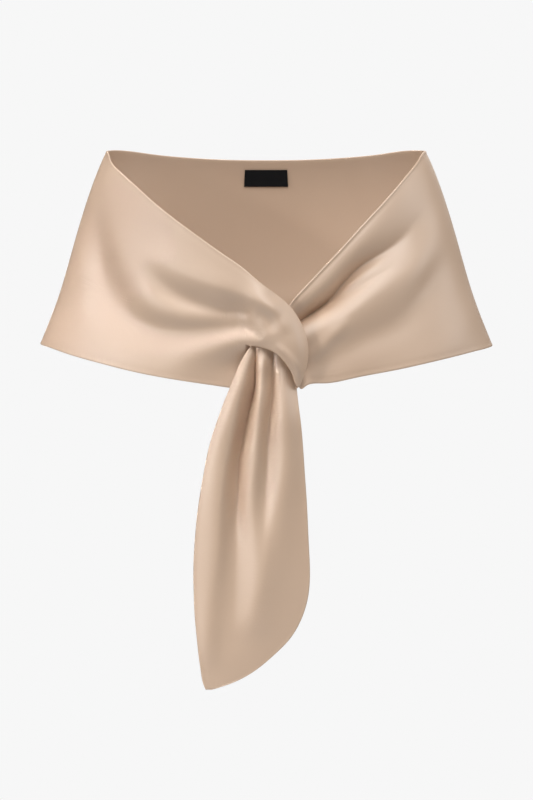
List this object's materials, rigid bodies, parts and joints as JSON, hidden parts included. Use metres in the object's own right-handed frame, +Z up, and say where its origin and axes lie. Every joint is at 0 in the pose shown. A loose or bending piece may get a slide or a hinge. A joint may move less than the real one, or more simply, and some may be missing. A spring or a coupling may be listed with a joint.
{
  "type": "evening stole",
  "caption": "Pull-through evening stole of satin, worn round the shoulders, one end drawn through a slit in the other and hanging in front.",
  "frame": {"origin": "on the wearer's upright axis at the level of the stole's side top edges, where the shoulders carry it", "axes": "+Z up, -Y the front of the garment, +X the wearer's left; the tail hangs on the front"},
  "size_m": [0.515, 0.2841, 0.6041],
  "materials": {
    "satin": "champagne beige duchess satin, soft sheen",
    "label": "black woven label, left bare"
  },
  "bodies": {
    "root": {"back": "satin", "front_right": "satin", "front_left": "satin", "tail": "satin", "label": "label"}
  },
  "joints": []
}
